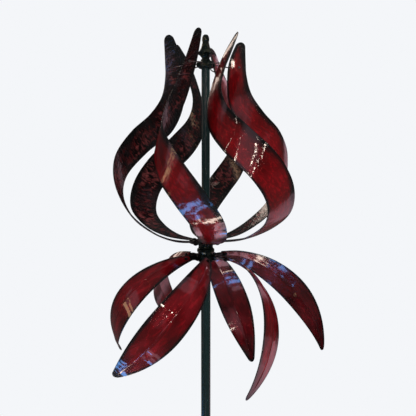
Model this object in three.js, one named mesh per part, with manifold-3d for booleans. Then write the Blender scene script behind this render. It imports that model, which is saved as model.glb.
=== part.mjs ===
// A garden wind sculpture on a pole: an upper rotor of six twisted ribbon blades and a lower rotor of
// six drooping leaves, each free to turn on one upright spindle. Millimetres, +Z up. The origin is on
// the spindle's axis at ground level, and the prongs of the fork go below it into the soil.
import * as THREE from "three";
import { mergeVertices } from "three/addons/utils/BufferGeometryUtils.js";
import Module from "manifold-3d";

// ---------- driving dimensions ----------
const GAP = 0.3; // between pieces that touch
const FACETS = 24; // round the turned pieces

// Heights above the ground.
const SEAT_Z = 1350; // the face of the bottom hub plate that the blades sit on
const SECTION_JOINTS = [400, 830]; // where the pole sections meet
const POLE_FOOT_Z = 12;

// Pole and fork.
const POLE_R = 12.7;
const POLE_BORE_R = 11.2;
const NECK_BORE_R = 9.2;
const NECK_LENGTH = 40;
const SOCKET_R = 16;
const SOCKET_TOP_Z = 72;
const SOCKET_SCREW_Z = 52;
const PRONG_R = 4.5;
const PRONG_COUNT = 3;
const PRONG_REACH = 70;
const PRONG_DEPTH = 210;
const SPIKE_DEPTH = 250;

// Spindle and bearings.
const SPINDLE_R = 6;
const BUSH_BORE_R = SPINDLE_R + GAP;
const COLLAR_R = 19.3;
const GRUB_R = 2.4;
const GRUB_ANGLE = -60;

// Upper rotor.
const BLADE_COUNT = 6;
const BLADE_FRONT_ANGLE = -82; // where blade_1 leaves the hub, degrees about +Z
const TUBE_R = 10.8;
const TUBE_BORE_R = 8;
const PLATE_R = 45;
const PLATE_THICKNESS = 4;
const BLADE_THICKNESS = 1.6;
const BLADE_CAMBER = 2.4; // how far the ribbon bulges outwards across its width
const BLADE_BOLT_RADIUS = 33;
const BLADE_BOLT_R = 3;
const BLADE_RISE = 0.5; // of the blade's root across the bolt head
const HUB_R = 21.5;
const HUB_LOBE = 2.8;
const HUB_Z = [447, 464]; // above the seat
const ROD_R = 1.5;
const ROD_EYE_R = 3.6;
const ROD_RIVET_R = 3.4;
const ROD_Z = 455; // above the seat
const ROD_STATION = 0.887; // where it is riveted along the blade, 0 at the hub and 1 at the tip
const ROD_ACROSS = 0.12; // and across it, 0 in the middle and 0.5 at the leading edge
const FINIAL_BASE_Z = 464.3; // above the seat

// The ribbon's two edges, from the hub plate to the tip. Each row is one station: the leading edge's
// radius, sweep in degrees and height, then the trailing edge's.
const BLADE_STATIONS = [
  [[27, 21, 0], [27, -21, 0]],
  [[38, 19, 0.3], [38, -19, 0.3]],
  [[50, 18, 1.3], [50, -18, 1.3]],
  [[108, 14, 10], [96, -15, 9]],
  [[168, 9, 34], [143, -15, 29]],
  [[222, 2, 81], [187, -18, 63]],
  [[243, -9, 147], [212, -27, 115]],
  [[233, -22, 218], [208, -38, 168]],
  [[192, -38, 286], [166, -54, 232]],
  [[148, -48, 333], [101, -64, 289]],
  [[118, -50, 377], [65, -62, 355]],
  [[104, -42, 426], [56, -39, 428]],
  [[103, -33, 461], [66, -23, 473]],
  [[108, -20, 518], [92, -13, 521]],
];
const BLADE_TIP_PART = 0.016; // of the length, which the round of the tip takes

// Lower rotor.
const HUB_FLANGE_R = 23;
const HUB_BODY_R = 19;
const HUB_BORE_R = 11;
const LEAF_LENGTH = 424;
const LEAF_WIDTH = 91;
const LEAF_WIDEST = 0.56; // where, as a part of the length
const LEAF_ROOT_WIDTH = 20;
const LEAF_THICKNESS = 1.6;
const LEAF_TIP_PART = 0.02; // of the length, which the round of the tip takes
const LEAF_KEEL = 5; // depth of the crease along the middle
const LEAF_PAD = 22; // flat length at the root, for the bolt
const LEAF_CURL_ROOT = 125; // bend in degrees per leaf length, at the root
const LEAF_CURL_TIP = 92; // and at the tip
const LEAF_TIP_WIDTH = 12;
const LEAF_ROOT_RADIUS = 49.5;
const LEAF_ROOT_AHEAD = 45; // the root's angle, ahead of where the leaf reaches out to
const LEAF_ROOT_Z = -40; // below the seat
const LEAF_YAW = 33;
const LEAF_DIP = 12.4;
const LEAF_ROLL = -38.5;
const BRACKET_WIDTH = 14;
const BRACKET_THICKNESS = 2.5;
const LEAF_BOLT_R = 2.5;
const LEAF_BOLT_AT = 11; // from the leaf's root end

// How each leaf has been set by hand on its bracket, in degrees: turn about +Z, droop and twist.
const LEAF_FRONT_ANGLE = -132; // where leaf_1 reaches out to
const LEAF_SETTINGS = [
  { turn: 4, droop: -1, twist: -7 },
  { turn: 0, droop: -1, twist: 8 },
  { turn: 5, droop: -9, twist: -9 },
  { turn: -11, droop: 19, twist: 5 },
  { turn: 1, droop: 2, twist: 0 },
  { turn: 1, droop: 3, twist: 3 },
];

// ---------- materials ----------
const candyRed = () =>
  new THREE.MeshStandardMaterial({ color: 0x9c1420, roughness: 0.25, metalness: 0.6 });
const darkBronze = () =>
  new THREE.MeshStandardMaterial({ color: 0x26261c, roughness: 0.35, metalness: 0.7 });
const steel = () =>
  new THREE.MeshStandardMaterial({ color: 0x8f9294, roughness: 0.3, metalness: 1 });
const nylon = () =>
  new THREE.MeshStandardMaterial({ color: 0xd8d6cc, roughness: 0.6, metalness: 0 });

// ---------- small helpers ----------
const radians = THREE.MathUtils.degToRad;

const polar = (radius, degrees, z) =>
  new THREE.Vector3(
    radius * Math.cos(radians(degrees)),
    radius * Math.sin(radians(degrees)),
    z,
  );

const wasm = await Module();
wasm.setup();

function solidOf(geometry) {
  const bare = geometry.clone();
  bare.deleteAttribute("normal");
  bare.deleteAttribute("uv");
  const merged = mergeVertices(bare, 1e-4);
  return new wasm.Manifold(
    new wasm.Mesh({
      numProp: 3,
      vertProperties: new Float32Array(merged.attributes.position.array),
      triVerts: new Uint32Array(merged.index.array),
    }),
  );
}

function geometryOf(solid) {
  const mesh = solid.getMesh();
  return new THREE.BufferGeometry()
    .setAttribute("position", new THREE.BufferAttribute(mesh.vertProperties, 3))
    .setIndex(new THREE.BufferAttribute(mesh.triVerts, 1));
}

const join = (...geometries) => geometryOf(geometries.map(solidOf).reduce((a, b) => a.add(b)));

const cut = (geometry, ...tools) =>
  geometryOf(tools.map(solidOf).reduce((a, b) => a.subtract(b), solidOf(geometry)));

// A turned piece from [radius, height] points, which run up the outside when they start on the axis.
function turned(points, segments = FACETS) {
  const profile = points.map(([radius, z]) => new THREE.Vector2(radius, z));
  return new THREE.LatheGeometry(profile, segments).rotateX(Math.PI / 2);
}

// A turned ring or tube with a plain bore.
const ring = (outer, inner, low, high, segments = FACETS) =>
  turned([[inner, low], [outer, low], [outer, high], [inner, high], [inner, low]], segments);

// A round bar from one point to another.
function bar(from, to, radius, segments = 12) {
  const along = new THREE.Vector3().subVectors(to, from);
  const turn = new THREE.Quaternion().setFromUnitVectors(
    new THREE.Vector3(0, 1, 0),
    along.clone().normalize(),
  );
  const halfFacet = Math.PI / segments;
  return new THREE.CylinderGeometry(radius, radius, along.length(), segments)
    .rotateY(halfFacet)
    .applyQuaternion(turn)
    .translate(...from.clone().addScaledVector(along, 0.5));
}

// A bent round rod through a few points.
function bentRod(points, radius, steps) {
  const section = new THREE.Shape().absarc(0, 0, radius, 0, 2 * Math.PI);
  return new THREE.ExtrudeGeometry(section, {
    steps,
    curveSegments: 4,
    bevelEnabled: false,
    extrudePath: new THREE.CatmullRomCurve3(points),
  });
}

// A surface here is a function: surface(s, v) gives its point for s from 0 to 1 along it and v from
// -0.5 to 0.5 across it.
function surfaceNormal(surface, s, v) {
  const step = 1e-3;
  const s0 = Math.max(s - step, 0);
  const s1 = Math.min(s + step, 1);
  const along = surface(s1, v).sub(surface(s0, v));
  const across = surface(s, Math.min(v + step, 0.5)).sub(surface(s, Math.max(v - step, -0.5)));
  return along.cross(across).normalize();
}

// The part of its width that a sheet keeps at s, where its tip is rounded over the last bit.
function roundTip(s, tipPart) {
  const into = Math.max(0, (s - 1 + tipPart) / tipPart);
  return Math.max(0.12, Math.sqrt(1 - into * into));
}

// Where a sheet's rows lie along it: evenly up to its rounded tip, and closer together round that.
function rowsAlong(evenSteps, tipPart) {
  const rows = [];
  for (let i = 0; i <= evenSteps; i++) rows.push((i / evenSteps) * (1 - tipPart));
  for (const into of [0.6, 0.9, 1]) if (tipPart > 0) rows.push(1 - tipPart * (1 - into));
  return rows;
}

// A sheet of metal bent over a surface, which is the middle of its thickness, with a row of points at
// each of the given parts of its length. Both faces are split along the same diagonals, so that a
// twisted sheet keeps its thickness.
function sheet(surface, thickness, rowsAt, acrossSteps) {
  const alongSteps = rowsAt.length - 1;
  const positions = [];
  for (const side of [-0.5, 0.5]) {
    for (const s of rowsAt) {
      for (let j = 0; j <= acrossSteps; j++) {
        const v = j / acrossSteps - 0.5;
        const normal = surfaceNormal(surface, s, v);
        positions.push(...surface(s, v).addScaledVector(normal, side * thickness));
      }
    }
  }
  const rows = alongSteps + 1;
  const columns = acrossSteps + 1;
  const low = (i, j) => i * columns + j;
  const high = (i, j) => (rows + i) * columns + j;
  const index = [];
  const quad = (a, b, c, d) => index.push(a, b, c, a, c, d);
  for (let i = 0; i < alongSteps; i++) {
    for (let j = 0; j < acrossSteps; j++) {
      quad(high(i, j), high(i + 1, j), high(i + 1, j + 1), high(i, j + 1));
      quad(low(i, j), low(i, j + 1), low(i + 1, j + 1), low(i + 1, j));
    }
    quad(low(i, 0), low(i + 1, 0), high(i + 1, 0), high(i, 0));
    quad(high(i, acrossSteps), high(i + 1, acrossSteps), low(i + 1, acrossSteps), low(i, acrossSteps));
  }
  for (let j = 0; j < acrossSteps; j++) {
    quad(low(0, j), high(0, j), high(0, j + 1), low(0, j + 1));
    quad(high(alongSteps, j), low(alongSteps, j), low(alongSteps, j + 1), high(alongSteps, j + 1));
  }
  return new THREE.BufferGeometry()
    .setAttribute("position", new THREE.Float32BufferAttribute(positions, 3))
    .setIndex(index);
}

// A bolt with its nut: the head is on +Z, and the grip is what it clamps, from low to high.
function boltWithNut(radius, low, high) {
  const head = radius * 1.9;
  return turned(
    [
      [0, low - 5],
      [radius, low - 5],
      [radius, low - 4],
      [head, low - 4],
      [head, low - GAP],
      [radius, low - GAP],
      [radius, high + GAP],
      [head, high + GAP],
      [head * 0.8, high + 3],
      [0, high + 3.4],
    ],
    12,
  );
}

const root = new THREE.Group();
const stand = new THREE.Group();
const lowerRotor = new THREE.Group();
const upperRotor = new THREE.Group();
lowerRotor.position.z = SEAT_Z;
upperRotor.position.z = SEAT_Z;
root.add(stand, lowerRotor, upperRotor);

function add(parent, name, geometry, material) {
  const mesh = new THREE.Mesh(geometry, material);
  mesh.name = name;
  parent.add(mesh);
  return mesh;
}

// ---------- heights of the stack on the spindle, relative to the seat ----------
const PLATE_LOW = -PLATE_THICKNESS;
const UPPER_WASHER = [PLATE_LOW - 4.2, PLATE_LOW - 2.7];
const COLLAR = [-18.6, UPPER_WASHER[0] - GAP];
const LOWER_HUB = [-56, -19.4];
const FLANGE_LOW = -29.5;
const LOWER_WASHER = [LOWER_HUB[0] - 1.8, LOWER_HUB[0] - GAP];
const PLUG_TOP = LOWER_WASHER[0] - GAP;
const PLUG_FLANGE_LOW = PLUG_TOP - 4;
const PLUG_LOW = PLUG_TOP - 47;
const SPINDLE = [PLUG_LOW + 5, HUB_Z[0] + 5];

// ---------- stand ----------
function poleSection(low, high, hasNeck) {
  const top = hasNeck ? high + NECK_LENGTH : high;
  const neckR = POLE_BORE_R - GAP;
  const outside = hasNeck
    ? [[POLE_R, high - GAP], [neckR, high - GAP], [neckR, top]]
    : [[POLE_R, top]];
  const inside = hasNeck
    ? [[NECK_BORE_R, top], [NECK_BORE_R, high - 6], [POLE_BORE_R, high - 12]]
    : [[POLE_BORE_R, top]];
  const foot = [[POLE_BORE_R, low], [POLE_R, low]];
  return turned([...foot, ...outside, ...inside, [POLE_BORE_R, low]]);
}

function groundFork() {
  const bore = POLE_R + GAP;
  const floor = POLE_FOOT_Z - GAP;
  const socket = turned([
    [0, -SPIKE_DEPTH],
    [PRONG_R, 20 - SPIKE_DEPTH],
    [PRONG_R, 0],
    [SOCKET_R, 0],
    [SOCKET_R, SOCKET_TOP_Z],
    [bore, SOCKET_TOP_Z],
    [bore, floor],
    [0, floor],
  ]);
  const prongZ = floor - PRONG_R - 1;
  const prongs = [];
  for (let i = 0; i < PRONG_COUNT; i++) {
    const angle = 90 + (i * 360) / PRONG_COUNT;
    const path = [
      polar(SOCKET_R - 6, angle, prongZ),
      polar(PRONG_REACH - 14, angle, prongZ),
      polar(PRONG_REACH, angle, prongZ - 14),
      polar(PRONG_REACH, angle, -PRONG_DEPTH),
    ];
    prongs.push(bentRod(path, PRONG_R, 10));
  }
  const screwHole = bar(polar(8, -90, SOCKET_SCREW_Z), polar(24, -90, SOCKET_SCREW_Z), 3.4);
  return cut(join(socket, ...prongs), screwHole);
}

function clampScrew() {
  const screw = turned(
    [[0, POLE_R + GAP], [3, POLE_R + GAP], [3, 20], [9, 20], [9, 30], [0, 30]],
    16,
  );
  return screw.rotateX(Math.PI / 2).translate(0, 0, SOCKET_SCREW_Z);
}

function buildStand() {
  const [lowJoint, highJoint] = SECTION_JOINTS;
  const poleTop = SEAT_Z + PLUG_FLANGE_LOW - GAP;
  add(stand, "ground_fork", groundFork(), darkBronze());
  add(stand, "fork_clamp_screw", clampScrew(), darkBronze());
  add(stand, "lower_pole", poleSection(POLE_FOOT_Z, lowJoint, true), darkBronze());
  add(stand, "middle_pole", poleSection(lowJoint, highJoint, true), darkBronze());
  add(stand, "upper_pole", poleSection(highJoint, poleTop, false), darkBronze());

  const plugR = POLE_BORE_R - GAP;
  const plug = turned([
    [0, PLUG_LOW],
    [plugR, PLUG_LOW],
    [plugR, PLUG_FLANGE_LOW],
    [POLE_R, PLUG_FLANGE_LOW],
    [POLE_R, PLUG_TOP],
    [BUSH_BORE_R, PLUG_TOP],
    [BUSH_BORE_R, SPINDLE[0] - GAP],
    [0, SPINDLE[0] - GAP],
  ]);
  add(stand, "pole_plug", plug, darkBronze()).position.z = SEAT_Z;

  const spindle = turned([
    [0, SPINDLE[0]],
    [SPINDLE_R, SPINDLE[0]],
    [SPINDLE_R, SPINDLE[1] - 3],
    [SPINDLE_R / 2, SPINDLE[1]],
    [0, SPINDLE[1]],
  ]);
  add(stand, "spindle", spindle, steel()).position.z = SEAT_Z;

  const lowerWasher = ring(POLE_R, BUSH_BORE_R, ...LOWER_WASHER);
  add(stand, "lower_thrust_washer", lowerWasher, nylon()).position.z = SEAT_Z;
  const upperWasher = ring(COLLAR_R - 5, BUSH_BORE_R, ...UPPER_WASHER);
  add(stand, "upper_thrust_washer", upperWasher, nylon()).position.z = SEAT_Z;

  const grubZ = (COLLAR[0] + COLLAR[1]) / 2;
  const grubHole = bar(polar(3, GRUB_ANGLE, grubZ), polar(COLLAR_R + 5, GRUB_ANGLE, grubZ), GRUB_R + GAP);
  const collar = cut(ring(COLLAR_R, BUSH_BORE_R, ...COLLAR), grubHole);
  add(stand, "spacer_collar", collar, darkBronze()).position.z = SEAT_Z;
  const grub = bar(
    polar(SPINDLE_R + 2 * GAP, GRUB_ANGLE, grubZ),
    polar(COLLAR_R - 1, GRUB_ANGLE, grubZ),
    GRUB_R,
  );
  add(stand, "collar_set_screw", grub, steel()).position.z = SEAT_Z;
}

// ---------- lower rotor ----------
// The leaf before it is placed: its root is at the origin, its length runs along X, its width along Y,
// and it curls down towards -Z.
function leafMiddleLine(steps) {
  const points = [new THREE.Vector3(0, 0, 0), new THREE.Vector3(LEAF_PAD, 0, 0)];
  const length = LEAF_LENGTH - LEAF_PAD;
  let x = LEAF_PAD;
  let z = 0;
  for (let i = 0; i < steps; i++) {
    const t = (i + 0.5) / steps;
    const bent = radians(LEAF_CURL_ROOT * t + ((LEAF_CURL_TIP - LEAF_CURL_ROOT) * t * t) / 2);
    x += (length / steps) * Math.cos(bent);
    z -= (length / steps) * Math.sin(bent);
    points.push(new THREE.Vector3(x, 0, z));
  }
  return points;
}

function leafWidth(s) {
  const rise = Math.sin(((Math.PI / 2) * s) / LEAF_WIDEST);
  if (s < LEAF_WIDEST) return LEAF_ROOT_WIDTH + (LEAF_WIDTH - LEAF_ROOT_WIDTH) * rise;
  const fall = Math.cos(((Math.PI / 2) * (s - LEAF_WIDEST)) / (1 - LEAF_WIDEST));
  return (LEAF_TIP_WIDTH + (LEAF_WIDTH - LEAF_TIP_WIDTH) * fall) * roundTip(s, LEAF_TIP_PART);
}

function leafSurface() {
  const middle = new THREE.CatmullRomCurve3(leafMiddleLine(16));
  middle.arcLengthDivisions = 400;
  return (s, v) => {
    const point = middle.getPointAt(s);
    const tangent = middle.getTangentAt(s);
    const normal = new THREE.Vector3(-tangent.z, 0, tangent.x);
    const keel = LEAF_KEEL * THREE.MathUtils.smoothstep(s, 0.06, 0.25) * (1 - s * s);
    point.addScaledVector(normal, keel * (0.5 - 2 * Math.abs(v)));
    point.y = v * leafWidth(s);
    return point;
  };
}

function leafGeometry() {
  const plate = sheet(leafSurface(), LEAF_THICKNESS, rowsAlong(15, LEAF_TIP_PART), 2);
  const hole = bar(
    new THREE.Vector3(LEAF_BOLT_AT, 0, -5),
    new THREE.Vector3(LEAF_BOLT_AT, 0, 5),
    LEAF_BOLT_R + 2 * GAP,
  );
  return cut(plate, hole);
}

// The frame of a leaf's root: X along the leaf, Y across it and Z out of its upper face.
function leafFrame(angle, droop, twist) {
  const bend = new THREE.Euler(radians(twist), radians(droop), radians(angle), "ZYX");
  const set = new THREE.Euler(
    radians(LEAF_ROLL),
    radians(LEAF_DIP),
    radians(LEAF_YAW),
    "ZYX",
  );
  const rotation = new THREE.Quaternion()
    .setFromEuler(bend)
    .multiply(new THREE.Quaternion().setFromEuler(set));
  const position = polar(LEAF_ROOT_RADIUS, angle + LEAF_ROOT_AHEAD, LEAF_ROOT_Z);
  return new THREE.Matrix4().compose(position, rotation, new THREE.Vector3(1, 1, 1));
}

// A twisted strap from the hub's wall to the underside of the leaf's pad.
function bracketGeometry(rootAngle, frame) {
  const under = -(LEAF_THICKNESS + BRACKET_THICKNESS) / 2 - GAP;
  const padEnd = new THREE.Vector3(LEAF_PAD - 3, 0, under).applyMatrix4(frame);
  const padMiddle = new THREE.Vector3(LEAF_BOLT_AT, 0, under).applyMatrix4(frame);
  const approach = new THREE.Vector3(-9, 0, under - 1.5).applyMatrix4(frame);
  const hubPoint = polar(HUB_BODY_R + GAP + 0.4, rootAngle, LEAF_ROOT_Z - 2);
  const knee = polar(HUB_BODY_R + 9, rootAngle, LEAF_ROOT_Z - 3);
  const path = new THREE.CatmullRomCurve3([hubPoint, knee, approach, padMiddle, padEnd]);
  const upright = new THREE.Vector3(0, 0, -1);
  const padAcross = new THREE.Vector3().setFromMatrixColumn(frame, 1);
  const surface = (s, v) => {
    const blend = THREE.MathUtils.smoothstep(s, 0, 0.5);
    const across = upright.clone().lerp(padAcross, blend).normalize();
    return path.getPoint(s).addScaledVector(across, v * BRACKET_WIDTH);
  };
  const hole = bar(
    new THREE.Vector3(LEAF_BOLT_AT, 0, -8),
    new THREE.Vector3(LEAF_BOLT_AT, 0, 8),
    LEAF_BOLT_R + 2 * GAP,
  ).applyMatrix4(frame);
  return cut(sheet(surface, BRACKET_THICKNESS, rowsAlong(10, 0), 2), hole);
}

function buildLowerRotor() {
  const [hubLow, hubTop] = LOWER_HUB;
  const hub = turned([
    [HUB_BORE_R, hubLow],
    [HUB_BODY_R - 1.5, hubLow],
    [HUB_BODY_R, hubLow + 1.5],
    [HUB_BODY_R, FLANGE_LOW],
    [HUB_FLANGE_R, FLANGE_LOW],
    [HUB_FLANGE_R, hubTop - 2],
    [HUB_FLANGE_R - 2, hubTop],
    [HUB_BORE_R, hubTop],
    [HUB_BORE_R, hubLow],
  ]);
  add(lowerRotor, "lower_hub", hub, darkBronze());
  const bushR = HUB_BORE_R - GAP;
  const bushLength = 12;
  const lowBush = ring(bushR, BUSH_BORE_R, hubLow + 0.5, hubLow + bushLength);
  const topBush = ring(bushR, BUSH_BORE_R, hubTop - bushLength, hubTop - 0.5);
  add(lowerRotor, "lower_hub_bottom_bush", lowBush, nylon());
  add(lowerRotor, "lower_hub_top_bush", topBush, nylon());

  const leaf = leafGeometry();
  const clampLow = -LEAF_THICKNESS / 2 - GAP - BRACKET_THICKNESS;
  const bolt = boltWithNut(LEAF_BOLT_R, clampLow, LEAF_THICKNESS / 2).translate(LEAF_BOLT_AT, 0, 0);
  LEAF_SETTINGS.forEach(({ turn, droop, twist }, i) => {
    const angle = LEAF_FRONT_ANGLE + turn + (i * 360) / LEAF_SETTINGS.length;
    const frame = leafFrame(angle, droop, twist);
    const bracket = bracketGeometry(angle + LEAF_ROOT_AHEAD, frame);
    add(lowerRotor, `leaf_bracket_${i + 1}`, bracket, darkBronze());
    add(lowerRotor, `leaf_${i + 1}`, leaf, candyRed()).applyMatrix4(frame);
    add(lowerRotor, `leaf_bolt_${i + 1}`, bolt, darkBronze()).applyMatrix4(frame);
  });
}

// ---------- upper rotor ----------
const bladeLift = BLADE_THICKNESS / 2 + GAP; // the sheet's middle above the seat

function bladeSurface() {
  const lift = new THREE.Vector3(0, 0, bladeLift);
  const edge = (side) =>
    new THREE.CatmullRomCurve3(BLADE_STATIONS.map((row) => polar(...row[side]).add(lift)));
  const leading = edge(0);
  const trailing = edge(1);
  return (s, v) => {
    const lead = leading.getPoint(s);
    const trail = trailing.getPoint(s);
    const point = trail.clone().lerp(lead, 0.5 + v * roundTip(s, BLADE_TIP_PART));
    const across = lead.clone().sub(trail);
    const ahead = leading.getTangent(s).add(trailing.getTangent(s));
    const outward = across.cross(ahead).normalize();
    const depth = BLADE_CAMBER * THREE.MathUtils.smoothstep(s, 0.09, 0.25) * Math.sqrt(1 - s * s);
    return point.addScaledVector(outward, depth * (1 - 4 * v * v));
  };
}

function rodEnd() {
  const surface = bladeSurface();
  return {
    point: surface(ROD_STATION, ROD_ACROSS),
    edge: surface(ROD_STATION, -0.5),
    inward: surfaceNormal(surface, ROD_STATION, ROD_ACROSS),
  };
}

function bladeGeometry() {
  const plate = sheet(bladeSurface(), BLADE_THICKNESS, rowsAlong(34, BLADE_TIP_PART), 2);
  const boltHole = bar(
    polar(BLADE_BOLT_RADIUS, 0, -4),
    polar(BLADE_BOLT_RADIUS, 0, 6),
    BLADE_BOLT_R + 2 * GAP,
  );
  const { point, inward } = rodEnd();
  const from = point.clone().addScaledVector(inward, -5);
  const to = point.clone().addScaledVector(inward, 5);
  return cut(plate, boltHole, bar(from, to, ROD_R + 2 * GAP));
}

// A rod from the top hub that lies on the blade's inner face, with its end riveted through the blade.
function spokeRod() {
  const { point, edge, inward } = rodEnd();
  const off = BLADE_THICKNESS / 2 + 2 * GAP + ROD_R;
  const end = point.clone().addScaledVector(inward, off);
  const crossing = edge.clone().addScaledVector(inward, off + 2.5);
  const angle = THREE.MathUtils.radToDeg(Math.atan2(crossing.y, crossing.x));
  const start = polar(HUB_R - 7, angle, ROD_Z);
  const leaving = polar(HUB_R + 10, angle, ROD_Z);
  const rod = bentRod([start, leaving, crossing, end], ROD_R, 8);
  const face = BLADE_THICKNESS / 2 + 2 * GAP;
  const at = (distance) => point.clone().addScaledVector(inward, distance);
  const eye = bar(at(face), at(face + 3), ROD_EYE_R);
  const pin = bar(at(-face - 1), at(face + 1), ROD_R);
  const rivet = bar(at(-face - 2), at(-face), ROD_RIVET_R);
  return { geometry: join(rod, eye, pin, rivet), angle };
}

function lobedHub(rodAngle) {
  const outline = [];
  const points = 36;
  for (let i = 0; i < points; i++) {
    const turn = (i * 360) / points;
    const radius = HUB_R + HUB_LOBE * Math.cos(radians(BLADE_COUNT * (turn - rodAngle)));
    outline.push(new THREE.Vector2(...polar(radius, turn, 0)));
  }
  const shape = new THREE.Shape(outline);
  shape.holes.push(new THREE.Path().absarc(0, 0, TUBE_R + GAP, 0, 2 * Math.PI, true));
  const [low, high] = HUB_Z;
  const disc = new THREE.ExtrudeGeometry(shape, {
    depth: high - low,
    bevelEnabled: false,
    curveSegments: FACETS / 2,
  }).translate(0, 0, low);
  const holes = [];
  for (let i = 0; i < BLADE_COUNT; i++) {
    const angle = rodAngle + (i * 360) / BLADE_COUNT;
    const from = polar(HUB_R - 7 - 2 * GAP, angle, ROD_Z);
    holes.push(bar(from, polar(HUB_R + 12, angle, ROD_Z), ROD_R + 2 * GAP));
  }
  return cut(disc, ...holes);
}

function finialGeometry() {
  const z = FINIAL_BASE_Z;
  return turned([
    [0, z - 8],
    [TUBE_BORE_R - GAP, z - 8],
    [TUBE_BORE_R - GAP, z],
    [12.5, z],
    [12.5, z + 4],
    [10, z + 6],
    [10, z + 9],
    [16, z + 16],
    [21.5, z + 19],
    [21.5, z + 20],
    [17.6, z + 24],
    [12.4, z + 33],
    [10, z + 40],
    [8.4, z + 48],
    [9.1, z + 50],
    [9.1, z + 57],
    [7, z + 64],
    [0, z + 67],
  ]);
}

function hubPlate() {
  const holes = [];
  for (let i = 0; i < BLADE_COUNT; i++) {
    const angle = BLADE_FRONT_ANGLE + (i * 360) / BLADE_COUNT;
    const low = polar(BLADE_BOLT_RADIUS, angle, -PLATE_THICKNESS - 4);
    holes.push(bar(low, low.clone().setZ(4), BLADE_BOLT_R + 2 * GAP));
  }
  return cut(ring(PLATE_R, TUBE_R + GAP, PLATE_LOW, 0), ...holes);
}

function buildUpperRotor() {
  const tubeTop = HUB_Z[1] - 0.5;
  add(upperRotor, "rotor_tube", ring(TUBE_R, TUBE_BORE_R, PLATE_LOW, tubeTop), darkBronze());
  add(upperRotor, "bottom_hub_plate", hubPlate(), darkBronze());
  const bushR = TUBE_BORE_R - GAP;
  const bottomBush = turned([
    [BUSH_BORE_R, PLATE_LOW - 2.4],
    [TUBE_R, PLATE_LOW - 2.4],
    [TUBE_R, PLATE_LOW - GAP],
    [bushR, PLATE_LOW - GAP],
    [bushR, PLATE_LOW + 14],
    [BUSH_BORE_R, PLATE_LOW + 14],
    [BUSH_BORE_R, PLATE_LOW - 2.4],
  ]);
  add(upperRotor, "tube_bottom_bush", bottomBush, nylon());
  const topBush = ring(bushR, BUSH_BORE_R, HUB_Z[0] - 18, HUB_Z[0] - 4);
  add(upperRotor, "tube_top_bush", topBush, nylon());

  const blade = bladeGeometry();
  const rod = spokeRod();
  const grip = [PLATE_LOW, GAP + BLADE_THICKNESS + BLADE_RISE];
  const bolt = boltWithNut(BLADE_BOLT_R, ...grip).translate(BLADE_BOLT_RADIUS, 0, 0);
  for (let i = 0; i < BLADE_COUNT; i++) {
    const spoke = new THREE.Group();
    spoke.rotation.z = radians(BLADE_FRONT_ANGLE + (i * 360) / BLADE_COUNT);
    upperRotor.add(spoke);
    add(spoke, `blade_${i + 1}`, blade, candyRed());
    add(spoke, `blade_bolt_${i + 1}`, bolt, darkBronze());
    add(spoke, `spoke_rod_${i + 1}`, rod.geometry, darkBronze());
  }
  add(upperRotor, "top_hub", lobedHub(BLADE_FRONT_ANGLE + rod.angle), darkBronze());
  add(upperRotor, "finial", finialGeometry(), darkBronze());
}

buildStand();
buildLowerRotor();
buildUpperRotor();

export default root;
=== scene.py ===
"""The looks of a garden wind sculpture round its CAD frame: six lacquered ribbon blades above six drooping
leaves, both on one dark pole. Metres, +Z up. The ribbons and leaves are made again from the same values
as in the CAD."""
import math

import bpy
from mathutils import Euler, Matrix, Vector


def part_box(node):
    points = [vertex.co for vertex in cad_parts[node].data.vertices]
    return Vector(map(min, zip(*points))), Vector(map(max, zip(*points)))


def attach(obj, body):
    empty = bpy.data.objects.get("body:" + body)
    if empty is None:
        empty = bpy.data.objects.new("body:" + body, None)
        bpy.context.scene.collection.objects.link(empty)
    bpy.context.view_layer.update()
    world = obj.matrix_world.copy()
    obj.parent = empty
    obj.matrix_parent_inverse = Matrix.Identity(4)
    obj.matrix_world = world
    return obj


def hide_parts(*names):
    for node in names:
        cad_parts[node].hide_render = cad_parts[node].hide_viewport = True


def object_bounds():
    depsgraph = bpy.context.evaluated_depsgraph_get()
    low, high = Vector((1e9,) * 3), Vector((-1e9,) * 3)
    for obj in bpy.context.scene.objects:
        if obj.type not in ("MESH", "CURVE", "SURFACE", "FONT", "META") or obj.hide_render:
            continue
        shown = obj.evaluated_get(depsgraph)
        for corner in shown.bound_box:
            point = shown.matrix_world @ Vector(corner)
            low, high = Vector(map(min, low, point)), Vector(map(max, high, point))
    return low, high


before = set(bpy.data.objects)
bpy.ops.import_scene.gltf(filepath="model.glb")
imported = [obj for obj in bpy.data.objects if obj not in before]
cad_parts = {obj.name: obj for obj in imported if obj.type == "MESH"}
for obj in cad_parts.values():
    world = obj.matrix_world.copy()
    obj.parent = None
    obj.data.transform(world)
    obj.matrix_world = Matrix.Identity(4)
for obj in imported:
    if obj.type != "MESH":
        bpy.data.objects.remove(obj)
cad_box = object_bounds()

# ---------- sizes and places from the frame ----------
PLATE_LOW, PLATE_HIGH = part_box("bottom_hub_plate")
SEAT = PLATE_HIGH.z  # the height that both rotors are measured from
GAP = 0.0003  # between pieces that touch
FLOOR_Z = cad_box[0].z


def radius_of(node):
    """The radius of a turned node on the spindle's axis."""
    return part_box(node)[1].y


def heights_of(node):
    """The lowest and highest z of a node."""
    low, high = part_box(node)
    return low.z, high.z


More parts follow.
